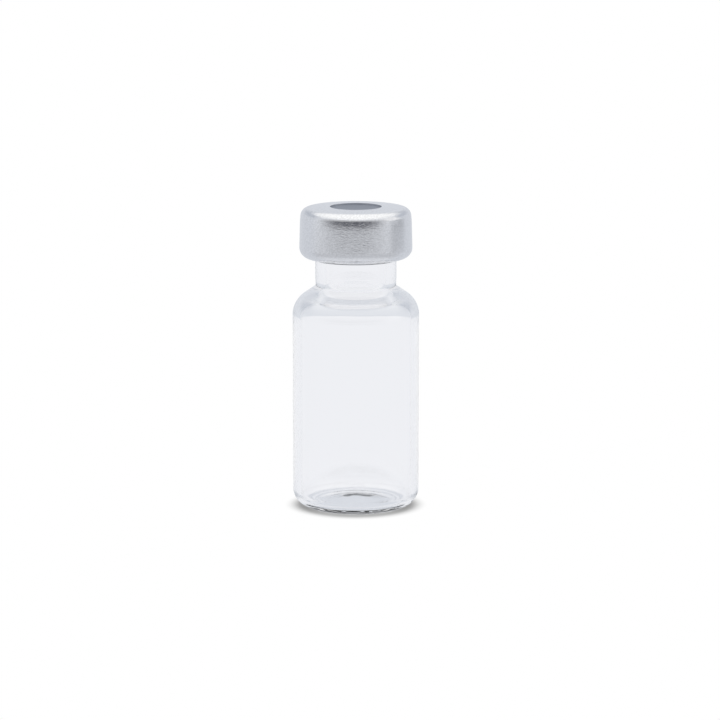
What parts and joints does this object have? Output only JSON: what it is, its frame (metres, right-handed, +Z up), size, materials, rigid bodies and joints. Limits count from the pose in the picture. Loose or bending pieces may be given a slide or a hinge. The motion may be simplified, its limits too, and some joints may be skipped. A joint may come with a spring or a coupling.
{
  "type": "glass sample vial",
  "caption": "Clear glass sample vial with a rounded shoulder and a short neck, closed by a grey rubber stopper under a crimped aluminium seal with an open centre.",
  "frame": {"origin": "centre of the ring that the vial stands on", "axes": "+Z up along the axis of the vial, from the base to the seal; the pieces are round, so X and Y are free"},
  "size_m": [0.0154, 0.0154, 0.0369],
  "materials": {
    "clear_glass": "clear, fire polished",
    "grey_rubber": "smooth moulded rubber",
    "aluminium": "satin, fine grained"
  },
  "bodies": {
    "root": {"glass_vial": "clear_glass", "rubber_stopper": "grey_rubber", "crimp_seal": "aluminium"}
  },
  "joints": []
}
